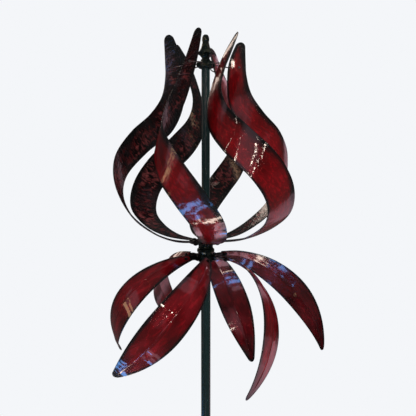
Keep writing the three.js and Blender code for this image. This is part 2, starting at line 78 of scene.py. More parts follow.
# ---------- blade: the ribbon's two edges ----------
# Each row is one station from the hub plate to the tip: the leading edge's radius, sweep in degrees and
# height above the seat, then the trailing edge's.
BLADE_STATIONS = (
    ((0.027, 21, 0), (0.027, -21, 0)),
    ((0.038, 19, 0.0003), (0.038, -19, 0.0003)),
    ((0.050, 18, 0.0013), (0.050, -18, 0.0013)),
    ((0.108, 14, 0.010), (0.096, -15, 0.009)),
    ((0.168, 9, 0.034), (0.143, -15, 0.029)),
    ((0.222, 2, 0.081), (0.187, -18, 0.063)),
    ((0.243, -9, 0.147), (0.212, -27, 0.115)),
    ((0.233, -22, 0.218), (0.208, -38, 0.168)),
    ((0.192, -38, 0.286), (0.166, -54, 0.232)),
    ((0.148, -48, 0.333), (0.101, -64, 0.289)),
    ((0.118, -50, 0.377), (0.065, -62, 0.355)),
    ((0.104, -42, 0.426), (0.056, -39, 0.428)),
    ((0.103, -33, 0.461), (0.066, -23, 0.473)),
    ((0.108, -20, 0.518), (0.092, -13, 0.521)),
)
BLADE_COUNT = 6
BLADE_FRONT_ANGLE = -82
BLADE_THICKNESS = 0.0016
BLADE_CAMBER = 0.0024
BLADE_TIP_PART = 0.016
BLADE_BOLT_RADIUS = 0.033
BLADE_BOLT_SHANK = 0.003
BLADE_RISE_AT_BOLT = 0.0005  # the blade's foot climbs a little by its bolt
BLADE_FLAT_FOOT = (0.09, 0.25)  # the parts of the length where the camber begins and is full
BLADE_ROWS, BLADE_COLUMNS = 220, 20
ROD_R = 0.0015
ROD_HEIGHT = 0.455
ROD_STATION = 0.887
ROD_ACROSS = 0.12
ROD_PAST_EDGE = 0.0025  # how far inside the blade's edge the rod crosses it
ROD_ROOTED, ROD_STRAIGHT = 0.007, 0.010  # its depth in the hub and the straight bit outside
TOP_HUB_R, TOP_HUB_LOBE = 0.0215, 0.0028
TUBE_BORE = 0.008
FINIAL_HEIGHT = 0.067  # above the tube's end
FINIAL_BORE = 0.0077

# ---------- leaf: a curled and creased sheet ----------
LEAF_LENGTH = 0.424
LEAF_WIDTH = 0.091
LEAF_WIDEST = 0.56
LEAF_ROOT_WIDTH = 0.020
LEAF_TIP_WIDTH = 0.012
LEAF_TIP_PART = 0.02
LEAF_THICKNESS = 0.0016
LEAF_KEEL = 0.005
LEAF_PAD = 0.022
LEAF_CURL_ROOT = 125
LEAF_CURL_TIP = 92
LEAF_ROOT_RADIUS = 0.0495
LEAF_ROOT_AHEAD = 45
LEAF_ROOT_Z = -0.040
LEAF_YAW, LEAF_DIP, LEAF_ROLL = 33, 12.4, -38.5
LEAF_KEEL_STARTS = (0.06, 0.25)  # the parts of the length where the fold begins and is full
LEAF_BOLT_AT = 0.011
LEAF_BOLT_SHANK = 0.0025
LEAF_FRONT_ANGLE = -132
LEAF_ROWS, LEAF_COLUMNS = 120, 24
LEAF_SETTINGS = (  # how each leaf is set on its bracket: turn, droop and twist in degrees
    (4, -1, -7),
    (0, -1, 8),
    (5, -9, -9),
    (-11, 19, 5),
    (1, 2, 0),
    (1, 3, 3),
)
CREASE_ROUND = 0.02  # of the width, over which the crease along the middle is rounded
RIB_COLUMNS = [side * v for side in (-1, 1) for v in (0.006, 0.012, 0.018, 0.024, 0.032)]
RIB_HEIGHT, RIB_HALF_WIDTH = 0.0005, 0.0014  # the pressed rib that stands on the crease
RIB_STARTS, RIB_ENDS = (0.08, 0.16), (0.88, 0.96)  # the parts of the length where it rises and sinks
BRACKET_WIDTH = 0.014
BRACKET_THICKNESS = 0.0025
BRACKET_TAPER = 0.35  # of its width, lost towards its end
BRACKET_ROWS, BRACKET_COLUMNS = 40, 4
LOWER_HUB_BODY_R, LOWER_HUB_BORE = 0.019, 0.011
FLANGE_THICKNESS = 0.0101

# ---------- stand ----------
POLE_BORE, NECK_BORE, NECK_LENGTH = 0.0112, 0.0092, 0.040
COLLAR_BORE = 0.0063
SOCKET_R = 0.016
PRONG_R, PRONG_REACH, PRONG_LOW, PRONG_COUNT = 0.0045, 0.070, -0.210, 3

# ---------- meshes ----------
RIM_STEPS = 4  # faces round the rim of a sheet
RIM_SUPPORT = 0.012  # of the width: a row of points that keeps a face's shading off the rim
NARROWEST_TIP = 0.12  # of the width, where a rounded tip ends
AXIS_R = 0.0003  # the ring that closes a turned solid on its axis


# ---------- small mathematics ----------
def polar(radius, degrees, z):
    angle = math.radians(degrees)
    return Vector((radius * math.cos(angle), radius * math.sin(angle), z))


def smoothstep(x, low, high):
    t = min(max((x - low) / (high - low), 0), 1)
    return t * t * (3 - 2 * t)


def spline(points):
    """A centripetal Catmull-Rom curve through the points: a function of t from 0 to 1."""
    first = points[0] * 2 - points[1]
    last = points[-1] * 2 - points[-2]
    padded = [first, *points, last]
    spans = len(points) - 1

    def at(t):
        i = min(int(t * spans), spans - 1)
        w = t * spans - i
        p0, p1, p2, p3 = padded[i : i + 4]
        d0, d1, d2 = (math.sqrt((b - a).length) for a, b in ((p0, p1), (p1, p2), (p2, p3)))
        m1 = ((p1 - p0) / d0 - (p2 - p0) / (d0 + d1)) * d1 + (p2 - p1)
        m2 = ((p3 - p2) / d2 - (p3 - p1) / (d1 + d2)) * d1 + (p2 - p1)
        hermite = (p1 - p2) * 2 + m1 + m2
        return p1 + m1 * w + ((p2 - p1) * 3 - m1 * 2 - m2) * w**2 + hermite * w**3

    return at


def tangent(curve, t, step=1e-4):
    low, high = max(t - step, 0), min(t + step, 1)
    return (curve(high) - curve(low)).normalized()


def by_length(curve, samples=400):
    """The same curve as a function of the part of its length."""
    points = [curve(i / samples) for i in range(samples + 1)]
    lengths = [0]
    for a, b in zip(points, points[1:]):
        lengths.append(lengths[-1] + (b - a).length)

    def at(s):
        wanted = s * lengths[-1]
        low, high = 0, samples
        while high - low > 1:
            middle = (low + high) // 2
            low, high = (middle, high) if lengths[middle] <= wanted else (low, middle)
        part = (wanted - lengths[low]) / (lengths[high] - lengths[low])
        return curve((low + part) / samples)

    return at


def round_tip(s, tip_part):
    """The part of its width that a sheet keeps at s, where its tip is rounded over the last bit."""
    into = max(0, (s - 1 + tip_part) / tip_part)
    return max(NARROWEST_TIP, math.sqrt(1 - into * into))


def surface_normal(surface, s, v, step=1e-3):
    along = surface(min(s + step, 1), v) - surface(max(s - step, 0), v)
    across = surface(s, min(v + step, 0.5)) - surface(s, max(v - step, -0.5))
    return along.cross(across).normalized()


# ---------- mesh building ----------
def make_mesh(name, points, faces, materials, face_slots=None, layers=None, sharp=None):
    """An object from its points and faces. layers gives each named UV layer a (u, v) for every point, and
    edges that bend by more than sharp degrees stay sharp in a smooth mesh."""
    mesh = bpy.data.meshes.new(name)
    mesh.from_pydata(points, [], faces)
    for material in materials:
        mesh.materials.append(material)
    if face_slots:
        mesh.polygons.foreach_set("material_index", face_slots)
    for layer_name, values in (layers or {}).items():
        layer = mesh.uv_layers.new(name=layer_name)
        for loop in mesh.loops:
            layer.data[loop.index].uv = values[loop.vertex_index]
    mesh.shade_smooth()
    mesh.update()
    if sharp:
        mesh.set_sharp_from_angle(angle=math.radians(sharp))
    piece = bpy.data.objects.new(name, mesh)
    bpy.context.scene.collection.objects.link(piece)
    return piece


def stand_for(piece, body, node):
    """The piece rides on a body in place of a CAD node."""
    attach(piece, body)
    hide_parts(node)
    return piece


def bridge(columns, rows, looped=False):
    """Quads between rings of points, one ring a row. When looped, the last ring joins the first."""
    faces = []
    for i in range(rows if looped else rows - 1):
        here = i * columns
        above = (i + 1) % rows * columns
        for j in range(columns):
            k = (j + 1) % columns
            faces.append((here + j, here + k, above + k, above + j))
    return faces


def capped(columns, rows):
    """Quads between rings of points, with a face over the first ring and one over the last."""
    first = tuple(reversed(range(columns)))
    last = tuple(range((rows - 1) * columns, rows * columns))
    return [*bridge(columns, rows), first, last]


def rounded(profile, radius, steps=4):
    """A closed outline of (x, y) points with each corner rounded, by less where its sides are short."""
    most = 0.45  # of a side, so that the roundings at its two ends don't meet
    made = []
    count = len(profile)
    for i in range(count):
        before, corner, after = (Vector(profile[(i + k) % count]) for k in (-1, 0, 1))
        back, ahead = before - corner, after - corner
        on_axis = corner.x < 1e-6
        if on_axis:
            made.append(corner)
            continue
        reach = min(radius, back.length * most, ahead.length * most)
        start = corner + back.normalized() * reach
        end = corner + ahead.normalized() * reach
        for k in range(steps + 1):
            t = k / steps
            made.append(start * (1 - t) ** 2 + corner * (2 * t * (1 - t)) + end * t * t)
    return made


def lathe(name, profile, material, segments=96, edge=0.0006):
    """A turned piece from a closed (radius, z) outline, which runs up the outside."""
    outline = rounded(profile, edge)
    points, metres = [], []
    run = 0
    for k, (radius, z) in enumerate(outline):
        run += (outline[k] - outline[k - 1]).length if k else 0
        for j in range(segments):
            points.append(polar(max(radius, 1e-5), 360 * j / segments, z))
            metres.append((radius * math.tau * j / segments, run))
    faces = bridge(segments, len(outline), looped=True)
    return make_mesh(name, points, faces, [material], layers={"metres": metres}, sharp=50)


def swept(name, path, radius_at, material, sides=16, steps=24):
    """A round rod along a path, with a radius that may change, closed at both ends."""
    points = []
    side = None
    for i in range(steps + 1):
        t = i / steps
        ahead = tangent(path, t)
        if side is None:
            side = ahead.orthogonal().normalized()
        side = (side - ahead * side.dot(ahead)).normalized()
        up = ahead.cross(side)
        for j in range(sides):
            a = math.tau * j / sides
            points.append(path(t) + (side * math.cos(a) + up * math.sin(a)) * radius_at(t))
    return make_mesh(name, points, capped(sides, steps + 1), [material], sharp=50)


def rows_along(count, tip_part=0):
    """Where a sheet's rows of points lie along it: evenly, then closer and closer round its tip."""
    rows = [(1 - tip_part) * i / count for i in range(count + 1)]
    tip_rows = 12 if tip_part else 0
    for k in range(1, tip_rows + 1):
        rows.append(1 - tip_part * (1 - math.sin(math.pi / 2 * k / tip_rows)))
    return rows


def section(surface, s, thickness, half):
    """One ring of points round a sheet at s, each with its v: the outer face, the rim at the leading edge,
    the inner face and the rim at the trailing edge."""
    sides = (surface(s, 0.5) - surface(s, -0.5)).normalized()

    def lifted(v, lift):
        return surface(s, v) + surface_normal(surface, s, v) * lift, v

    def rim(side):
        v = 0.5 * side
        centre, normal = surface(s, v), surface_normal(surface, s, v)
        turns = [math.pi * k / RIM_STEPS for k in range(1, RIM_STEPS)]
        bulges = [(sides * math.sin(a) - normal * math.cos(a)) * side for a in turns]
        return [(centre + bulge * thickness / 2, v) for bulge in bulges]

    outer = [lifted(v, -thickness / 2) for v in half]
    inner = [lifted(v, thickness / 2) for v in reversed(half)]
    return [*outer, *rim(1), *inner, *rim(-1)]


def ribbon(name, surface, thickness, rows_at, across, materials, place=None, finer=()):
    """A bent sheet with a rounded rim. Its slots are the outer face, the inner face and the rim.
    In metres, the layer "metres" holds the way along and across the sheet, "edges" the way to its leading
    and trailing edge, and "ends" the way to its root and tip. finer adds places across to its mesh."""
    even = [k / across - 0.5 for k in range(across + 1)]
    half = sorted({*even, RIM_SUPPORT - 0.5, 0.5 - RIM_SUPPORT, *finer})
    points, metres, edges, runs = [], [], [], []
    run = 0
    previous = surface(0, 0)
    for s in rows_at:
        middle = surface(s, 0)
        run += (middle - previous).length
        previous = middle
        width = (surface(s, 0.5) - surface(s, -0.5)).length
        for point, v in section(surface, s, thickness, half):
            points.append(place @ point if place else point)
            metres.append((run, v * width))
            edges.append(((0.5 - v) * width, (0.5 + v) * width))
            runs.append(run)
    rows = len(rows_at)
    columns = len(points) // rows
    flat = len(half) - 1
    slot_of_column = [0] * flat + [2] * RIM_STEPS + [1] * flat + [2] * RIM_STEPS
    face_slots = slot_of_column * (rows - 1) + [2, 2]
    layers = {"metres": metres, "edges": edges, "ends": [(way, run - way) for way in runs]}
    return make_mesh(name, points, capped(columns, rows), materials, face_slots, layers)


# ---------- materials ----------
class Nodes:
    """The node tree of a material or the world, with short ways to add what the finishes below share."""

    def __init__(self, owner):
        owner.use_nodes = True
        self.owner = owner
        self.tree = owner.node_tree

    def add(self, kind, inputs=None, **settings):
        node = self.tree.nodes.new(kind)
        for key, value in settings.items():
            setattr(node, key, value)
        for key, value in (inputs or {}).items():
            self.give(node.inputs[key], value)
        return node

    def give(self, socket, value):
        """Sets a socket to a number or colour, or links it to another node's output."""
        if isinstance(value, bpy.types.NodeSocket):
            self.tree.links.new(value, socket)
        elif isinstance(value, bpy.types.Node):
            self.tree.links.new(value.outputs[0], socket)
        else:
            socket.default_value = value

    def uv(self, layer, scale=(1, 1, 1), angle=0):
        """A named UV layer, which is in metres, stretched by scale and turned."""
        layer_node = self.add("ShaderNodeUVMap", uv_map=layer)
        inputs = {"Vector": layer_node, "Scale": scale, "Rotation": (0, 0, math.radians(angle))}
        return self.add("ShaderNodeMapping", inputs)

    def place(self, scale=(1, 1, 1)):
        """The place on the object in metres, stretched by scale."""
        where = self.add("ShaderNodeTexCoord").outputs["Object"]
        return self.add("ShaderNodeMapping", {"Vector": where, "Scale": scale})

    def noise(self, where, scale, detail=3, roughness=0.5, distortion=0):
        inputs = {
            "Vector": where,
            "Scale": scale,
            "Detail": detail,
            "Roughness": roughness,
            "Distortion": distortion,
        }
        return self.add("ShaderNodeTexNoise", inputs)

    def ramp(self, factor, stops):
        """A colour ramp from (position, colour) or (position, number) stops."""
        node = self.add("ShaderNodeValToRGB", {"Fac": factor})
        elements = node.color_ramp.elements
        while len(elements) < len(stops):
            elements.new(0.5)
        for element, (position, colour) in zip(elements, stops):
            element.position = position
            element.color = (*colour, 1) if isinstance(colour, tuple) else (colour,) * 3 + (1,)
        return node

    def math(self, operation, a, b=0.0):
        node = self.add("ShaderNodeMath", operation=operation)
        self.give(node.inputs[0], a)
        self.give(node.inputs[1], b)
        return node

    def mix(self, factor, a, b, blend_type="MIX"):
        node = self.add("ShaderNodeMix", data_type="RGBA", blend_type=blend_type)
        self.give(node.inputs["Factor"], factor)
        self.give(node.inputs[6], a)
        self.give(node.inputs[7], b)
        return node.outputs[2]

    def bump(self, height, strength, distance, under=None):
        inputs = {"Height": height, "Strength": strength, "Distance": distance}
        if under:
            inputs["Normal"] = under
        return self.add("ShaderNodeBump", inputs)

    def finish(self, **inputs):
        """Sets the main shader's sockets, named with _ for a space, and returns the material."""
        shader = self.tree.nodes["Principled BSDF"]
        for name, value in inputs.items():
            self.give(shader.inputs[name.replace("_", " ")], value)
        return self.owner


def new_finish(name):
    return Nodes(bpy.data.materials.new(name))


BLACK_EDGE = (0.003, 0.004, 0.004, 1)


def near_edges(n, bands, clouds):
    """1 at the sheet's edges and tip falling to 0 inside the airbrushed bands, which wander in width.
    bands are their widths along the leading edge, the trailing edge and the tip, in metres."""
    leading, trailing, tip = bands
    edges = n.add("ShaderNodeSeparateXYZ", {"Vector": n.add("ShaderNodeUVMap", uv_map="edges")})
    ends = n.add("ShaderNodeSeparateXYZ", {"Vector": n.add("ShaderNodeUVMap", uv_map="ends")})
    from_sides = n.math(
        "MINIMUM",
        n.math("DIVIDE", edges.outputs["X"], leading),
        n.math("DIVIDE", edges.outputs["Y"], trailing),
    )
    from_rim = n.math("MINIMUM", from_sides, n.math("DIVIDE", ends.outputs["Y"], tip))
    wandering = 1.6  # how much the clouds shift the bands, in bands
    mist = 2.5  # how far the thin outer mist of black reaches, in bands
    wander = n.math("MULTIPLY", n.math("SUBTRACT", clouds, 0.5), wandering)
    inside = n.math("DIVIDE", n.math("ADD", from_rim, wander), mist)
    return n.ramp(inside, ((0.10, 1.0), (0.24, 0.78), (0.40, 0.22), (1.0, 0.0)))


def lacquer(name, reds, bands, hammer, streaks, pit, coat_roughness):
    """Candy red lacquer on sheet steel with its edges airbrushed black. reds are the dark, main and light
    tints, hammer is the depth of the beaten marks under the lacquer, streaks their size along and across
    the sheet, and pit how dark the marks are painted. The darkened marks are a mottle; with pit near
    black, as inside the blades, they are painted shade in the pits, and the tint left on their crests is
    painted highlights."""
    n = new_finish(name)
    along, across = streaks
    marks_at = n.uv("metres", (1 / along, 1 / across, 1), angle=12)
    marks = n.noise(marks_at, 1, detail=3, roughness=0.55, distortion=0.7)
    clouds = n.noise(n.uv("metres", (9, 20, 1), angle=-20), 1, detail=3, roughness=0.55)
    speckle = n.noise(n.uv("metres"), 900, detail=2)
    dark, main, light = reds
    tint = n.ramp(clouds, ((0.34, dark), (0.5, main), (0.66, light)))
    # the marks darkened in colour: a mottle, and with pit near black, painted shade in the pits beside
    # painted highlights on the crests
    pit_shade_and_mottle = n.ramp(marks, ((0.42, pit), (0.52, 0.3 + 0.5 * pit), (0.62, 1.0)))
    colour = n.mix(1.0, tint, pit_shade_and_mottle, "MULTIPLY")
    colour = n.mix(near_edges(n, bands, clouds), colour, BLACK_EDGE)

    roughness = n.ramp(speckle, ((0.3, 0.26), (0.7, 0.40)))
    beaten = n.bump(marks, 1.0, hammer)
    grain = n.bump(speckle, 0.15, 0.0002, under=beaten)
    ripple = n.noise(n.uv("metres", (16, 34, 1)), 1, detail=1)
    coat = n.bump(ripple, 0.6, 0.0016)
    soft = n.bump(marks, 0.35, hammer, under=coat)
    return n.finish(
        Base_Color=colour,
        Metallic=0.3,
        Roughness=roughness,
        Specular_IOR_Level=0.2,
        Normal=grain,
        Coat_Weight=1.0,
        Coat_Roughness=coat_roughness,
        Coat_IOR=1.8,
        Coat_Normal=soft,
    )


def dark_metal(name, tint, rub, roughness):
    """Cast metal with a near black green patina, rubbed to bronze here and there. With a pale tint and
    rub, as on the rods, that colour is painted sheen instead.
    """
    n = new_finish(name)
    where = n.place()
    patches = n.noise(where, 70, detail=4, roughness=0.6)
    grain = n.noise(where, 900, detail=2)
    dark = tuple(c * 0.45 for c in tint)
    colour = n.ramp(patches, ((0.34, dark), (0.52, tint), (0.74, rub)))
    gloss = n.ramp(grain, ((0.3, roughness * 0.75), (0.7, roughness * 1.3)))
    cast = n.bump(patches, 0.3, 0.0006)
    normal = n.bump(grain, 0.25, 0.00015, under=cast)
    return n.finish(
        Base_Color=colour,
        Metallic=0.75,
        Roughness=gloss,
        Normal=normal,
        Coat_Weight=0.3,
        Coat_Roughness=0.12,
    )


def pole_paint():
    """Glossy black-green paint with a faint orange-peel skin and fine scuffs along the tube."""
    n = new_finish("pole_paint")
    where = n.place()
    peel = n.noise(where, 260, detail=1)
    scuffs = n.noise(n.place((220, 220, 9)), 1, detail=3, roughness=0.6)
    dust = n.noise(n.place((14, 14, 3)), 1, detail=3)
    colour = n.ramp(dust, ((0.35, (0.004, 0.014, 0.014)), (0.7, (0.011, 0.030, 0.030))))
    colour = n.mix(n.ramp(scuffs, ((0.66, 0.0), (0.78, 0.35))), colour, (0.05, 0.06, 0.05, 1))
    roughness = n.ramp(scuffs, ((0.35, 0.20), (0.75, 0.42)))
    return n.finish(
        Base_Color=colour,
        Metallic=0.0,
        Roughness=roughness,
        Normal=n.bump(peel, 0.12, 0.0003),
        Coat_Weight=0.5,
        Coat_Roughness=0.08,
    )


def machined_steel():
    n = new_finish("machined_steel")
    rings = n.noise(n.place((60, 60, 1400)), 1, detail=2)
    stain = n.noise(n.place(), 45, detail=4)
    colour = n.ramp(stain, ((0.35, (0.25, 0.24, 0.23)), (0.7, (0.52, 0.52, 0.51))))
    roughness = n.ramp(rings, ((0.3, 0.22), (0.7, 0.42)))
    return n.finish(
        Base_Color=colour,
        Metallic=1.0,
        Roughness=roughness,
        Normal=n.bump(rings, 0.3, 0.0001),
    )


def moulded_nylon():
    n = new_finish("moulded_nylon")
    cloud = n.noise(n.place(), 60, detail=3)
    grain = n.noise(n.place(), 1400, detail=2)
    colour = n.ramp(cloud, ((0.3, (0.50, 0.48, 0.41)), (0.7, (0.68, 0.66, 0.60))))
    roughness = n.ramp(grain, ((0.3, 0.42), (0.7, 0.6)))
    return n.finish(
        Base_Color=colour,
        Roughness=roughness,
        Subsurface_Weight=0.1,
        Subsurface_Radius=(0.001, 0.001, 0.001),
        Normal=n.bump(grain, 0.2, 0.0001),
    )


BLADE_REDS = ((0.12, 0.0003, 0.001), (0.25, 0.0006, 0.003), (0.36, 0.003, 0.008))
# the inner face's light tint is a painted rosy sheen; its dark and main tints are the lacquer's own reds
INNER_REDS_AND_SHEEN = ((0.040, 0.0010, 0.002), (0.12, 0.010, 0.011), (0.32, 0.07, 0.07))
LEAF_REDS = ((0.12, 0.0004, 0.002), (0.22, 0.0012, 0.005), (0.31, 0.007, 0.014))
UNDER_REDS = ((0.07, 0.001, 0.003), (0.15, 0.002, 0.006), (0.23, 0.008, 0.014))

blade_outer = lacquer(
    "blade_outer",
    BLADE_REDS,
    bands=(0.017, 0.008, 0.018),
    hammer=0.0005,
    streaks=(0.014, 0.006),
    pit=0.55,
    coat_roughness=0.03,
)
# pit near black: painted shade in the beaten pits and painted highlights of the tint on their crests
blade_inner = lacquer(
    "blade_inner",
    INNER_REDS_AND_SHEEN,
    bands=(0.021, 0.021, 0.140),
    hammer=0.0030,
    streaks=(0.008, 0.020),
    pit=0.02,
    coat_roughness=0.08,
)
blade_rim = lacquer(
    "blade_rim",
    UNDER_REDS,
    bands=(0.002, 0.002, 0.002),
    hammer=0.0004,
    streaks=(0.01, 0.005),
    pit=0.60,
    coat_roughness=0.10,
)
leaf_upper = lacquer(
    "leaf_upper",
    LEAF_REDS,
    bands=(0.007, 0.010, 0.024),
    hammer=0.0002,
    streaks=(0.040, 0.012),
    pit=0.60,
    coat_roughness=0.03,
)
leaf_under = lacquer(
    "leaf_under",
    UNDER_REDS,
    bands=(0.006, 0.006, 0.010),
    hammer=0.0004,
    streaks=(0.030, 0.010),
    pit=0.60,
    coat_roughness=0.08,
)
patina = dark_metal("patina", tint=(0.014, 0.026, 0.022), rub=(0.10, 0.095, 0.055), roughness=0.22)
# the rods' pale pinkish grey tint and rubs are painted sheen on dark metal
rod_wire_painted_sheen = dark_metal("rod_wire_painted_sheen", tint=(0.16, 0.12, 0.12), rub=(0.34, 0.27, 0.25), roughness=0.30)
black_iron = dark_metal("black_iron", tint=(0.010, 0.012, 0.011), rub=(0.05, 0.045, 0.035), roughness=0.38)
pole_finish = pole_paint()
steel = machined_steel()
nylon = moulded_nylon()


# ---------- upper rotor ----------
def blade_surface():
    lift = Vector((0, 0, SEAT + BLADE_THICKNESS / 2 + GAP))

    def edge(side):
        return spline([polar(*row[side]) + lift for row in BLADE_STATIONS])

    leading, trailing = edge(0), edge(1)

    def at(s, v):
        lead, trail = leading(s), trailing(s)
        ahead = tangent(leading, s) + tangent(trailing, s)
        outward = (lead - trail).cross(ahead).normalized()
        point = trail.lerp(lead, 0.5 + v * round_tip(s, BLADE_TIP_PART))
        depth = BLADE_CAMBER * smoothstep(s, *BLADE_FLAT_FOOT) * math.sqrt(1 - s * s)
        return point + outward * depth * (1 - 4 * v * v)

    return at


def copy_turned(source, name, degrees):
    """A copy of a piece, turned about the spindle, with a mesh of its own."""
    piece = bpy.data.objects.new(name, source.data.copy())
    bpy.context.scene.collection.objects.link(piece)
    piece.data.transform(Matrix.Rotation(math.radians(degrees), 4, "Z"))
    return piece


def hex_bolt(name, radius, low, high, place):
    """A button head above high and a hexagon nut with its washer below low, on one threaded shank."""
    head = radius * 1.9
    nut = head * 0.86
    recess = head * 0.44
    thread_end = low - 0.0050
    nut_low = low - 0.0040
    washer_low = low - 0.0009
    recess_floor = high + 0.0020
    rows = (  # radius, height, and whether the ring is a hexagon
        (AXIS_R, thread_end, False),
        (radius * 0.85, thread_end, False),
        (radius, thread_end + 0.0004, False),
        (radius, nut_low, False),
        (nut * 0.93, nut_low, True),
        (nut, nut_low + 0.0004, True),
        (nut, washer_low - 0.0002, True),
        (nut * 0.98, washer_low, True),
        (head * 1.02, washer_low, False),
        (head * 1.02, low - GAP, False),
        (radius, low - GAP, False),
        (radius, high + GAP, False),
        (head, high + GAP, False),
        (head, high + 0.0008, False),
        (head * 0.93, high + 0.0019, False),
        (head * 0.70, high + 0.0029, False),
        (head * 0.46, high + 0.0033, False),
        (recess, recess_floor, True),
        (AXIS_R, recess_floor, True),
    )
    sides = 48
    points = []
    for r, z, is_hexagon in rows:
        for j in range(sides):
            degrees = 360 * j / sides
            reach = hexagon(r, degrees) if is_hexagon else r
            points.append(place @ polar(reach, degrees, z))
    return make_mesh(name, points, capped(sides, len(rows)), [black_iron], sharp=28)


def hexagon(flat_radius, degrees):
    """How far a hexagon reaches at an angle, from the radius of the circle inside it."""
    from_flat = (degrees + 30) % 60 - 30
    return flat_radius / math.cos(math.radians(from_flat))


def spoke(surface):
    """A rod from the top hub to the inner face of a blade, with a flattened riveted eye. Returns its
    piece and the angle at which it leaves the hub."""
    point = surface(ROD_STATION, ROD_ACROSS)
    inward = surface_normal(surface, ROD_STATION, ROD_ACROSS)
    face = BLADE_THICKNESS / 2 + 2 * GAP
    end = point + inward * (face + ROD_R)
    crossing = surface(ROD_STATION, -0.5) + inward * (face + ROD_R + ROD_PAST_EDGE)
    angle = math.degrees(math.atan2(crossing.y, crossing.x))
    start = polar(TOP_HUB_R - ROD_ROOTED, angle, SEAT + ROD_HEIGHT)
    leaving = polar(TOP_HUB_R + ROD_STRAIGHT, angle, SEAT + ROD_HEIGHT)
    path = spline([start, leaving, crossing, end])
    rod = swept("rod", path, lambda t: ROD_R, rod_wire_painted_sheen)
    eye_parts = (
        (face, 0.0036),
        (face + 0.0022, 0.0036),
        (face + 0.0030, 0.0028),
    )
    rivet_parts = (
        (-face - 0.0020, 0.0014),
        (-face - 0.0016, 0.0026),
        (-face - 0.0008, 0.0033),
        (-face, 0.0034),
        (-face, ROD_R),
        (face + 0.001, ROD_R),
    )
    eye = stack("eye", point, inward, eye_parts, rod_wire_painted_sheen)
    rivet = stack("rivet", point, inward, rivet_parts, rod_wire_painted_sheen)
    return joined("rod", [rod, eye, rivet]), angle


def stack(name, origin, axis, parts, material, sides=24):
    """A solid of revolution about a line, from (distance along it, radius) parts."""
    turn = Vector((0, 0, 1)).rotation_difference(axis).to_matrix().to_4x4()
    place = Matrix.Translation(origin) @ turn
    points = [place @ polar(r, 360 * j / sides, z) for z, r in parts for j in range(sides)]
    return make_mesh(name, points, capped(sides, len(parts)), [material], sharp=35)


def joined(name, pieces):
    """One object with the meshes of several that share a material."""
    points, faces = [], []
    for piece in pieces:
        first = len(points)
        points += [v.co.copy() for v in piece.data.vertices]
        faces += [tuple(first + i for i in p.vertices) for p in piece.data.polygons]
    made = make_mesh(name, points, faces, [pieces[0].data.materials[0]], sharp=35)
    for piece in pieces:
        bpy.data.objects.remove(piece)
    return made


def build_blades():
    surface = blade_surface()
    skins = [blade_outer, blade_inner, blade_rim]
    rows = rows_along(BLADE_ROWS, BLADE_TIP_PART)
    master = ribbon("blade", surface, BLADE_THICKNESS, rows, BLADE_COLUMNS, skins)
    rod, rod_angle = spoke(surface)
    grip_high = SEAT + GAP + BLADE_THICKNESS + BLADE_RISE_AT_BOLT
    at_bolt = Matrix.Translation((BLADE_BOLT_RADIUS, 0, 0))
    bolt = hex_bolt("bolt", BLADE_BOLT_SHANK, PLATE_LOW.z, grip_high, at_bolt)
    for i in range(BLADE_COUNT):
        degrees = BLADE_FRONT_ANGLE + i * 360 / BLADE_COUNT
        number = i + 1
        for source, node, slot in (
            (master, f"blade_{number}", "blade_red"),
            (rod, f"spoke_rod_{number}", "dark_metal"),
            (bolt, f"blade_bolt_{number}", "dark_metal"),
        ):
            piece = copy_turned(source, node + "_form", degrees)
            stand_for(piece, "upper_rotor", node)
    for source in (master, rod, bolt):
        bpy.data.objects.remove(source)
    return BLADE_FRONT_ANGLE + rod_angle


def build_top_hub(rod_angle):
    """The lobed hub that holds the spoke rods, domed towards the finial, with a bore for the tube."""
    low, high = heights_of("top_hub")
    bore = radius_of("rotor_tube") + GAP
    rows = (  # radius, height and the share of the lobes
        (bore, low, 0),
        (bore + 0.003, low, 0),
        (TOP_HUB_R - 0.003, low + 0.0008, 0.7),
        (TOP_HUB_R - 0.0008, low + 0.0025, 0.95),
        (TOP_HUB_R, low + 0.006, 1),
        (TOP_HUB_R, high - 0.006, 1),
        (TOP_HUB_R - 0.0010, high - 0.0028, 0.95),
        (TOP_HUB_R - 0.0040, high - 0.0008, 0.7),
        (TOP_HUB_R - 0.0075, high, 0.2),
        (bore, high, 0),
    )
    sides = 144
    points = []
    for r, z, share in rows:
        for j in range(sides):
            degrees = 360 * j / sides
            wave = math.cos(math.radians(BLADE_COUNT * (degrees - rod_angle)))
            points.append(polar(r + TOP_HUB_LOBE * share * wave, degrees, z))
    faces = bridge(sides, len(rows), looped=True)
    hub = make_mesh("top_hub_form", points, faces, [patina], sharp=60)
    smoother = hub.modifiers.new("smoother", "SUBSURF")
    smoother.levels = smoother.render_levels = 1
    stand_for(hub, "upper_rotor", "top_hub")


def build_finial():
    """The turned cap: a base ring, a waist, a sharp brim and a bell under a knob."""
    low, top = heights_of("finial")
    base = top - FINIAL_HEIGHT
    profile = [
        (0, low),
        (FINIAL_BORE, low),
        (FINIAL_BORE, base),
        (0.0125, base),
        (0.0125, base + 0.004),
        (0.0104, base + 0.0055),
        (0.0098, base + 0.0075),
        (0.0106, base + 0.0098),
        (0.0160, base + 0.0160),
        (0.0215, base + 0.0190),
        (0.0215, base + 0.0200),
        (0.0198, base + 0.0214),
        (0.0174, base + 0.0240),
        (0.0146, base + 0.0280),
        (0.0122, base + 0.0330),
        (0.0099, base + 0.0400),
        (0.0083, base + 0.0480),
        (0.0083, base + 0.0492),
        (0.0091, base + 0.0504),
        (0.0093, base + 0.0540),
        (0.0089, base + 0.0585),
        (0.0078, base + 0.0625),
        (0.0056, base + 0.0655),
        (0.0028, base + 0.0668),
        (0, top),
    ]
    finial = lathe("finial_form", profile, patina, edge=0.0012)
    stand_for(finial, "upper_rotor", "finial")


def tube_profile(outer, inner, low, high):
    return [(inner, low), (outer, low), (outer, high), (inner, high)]


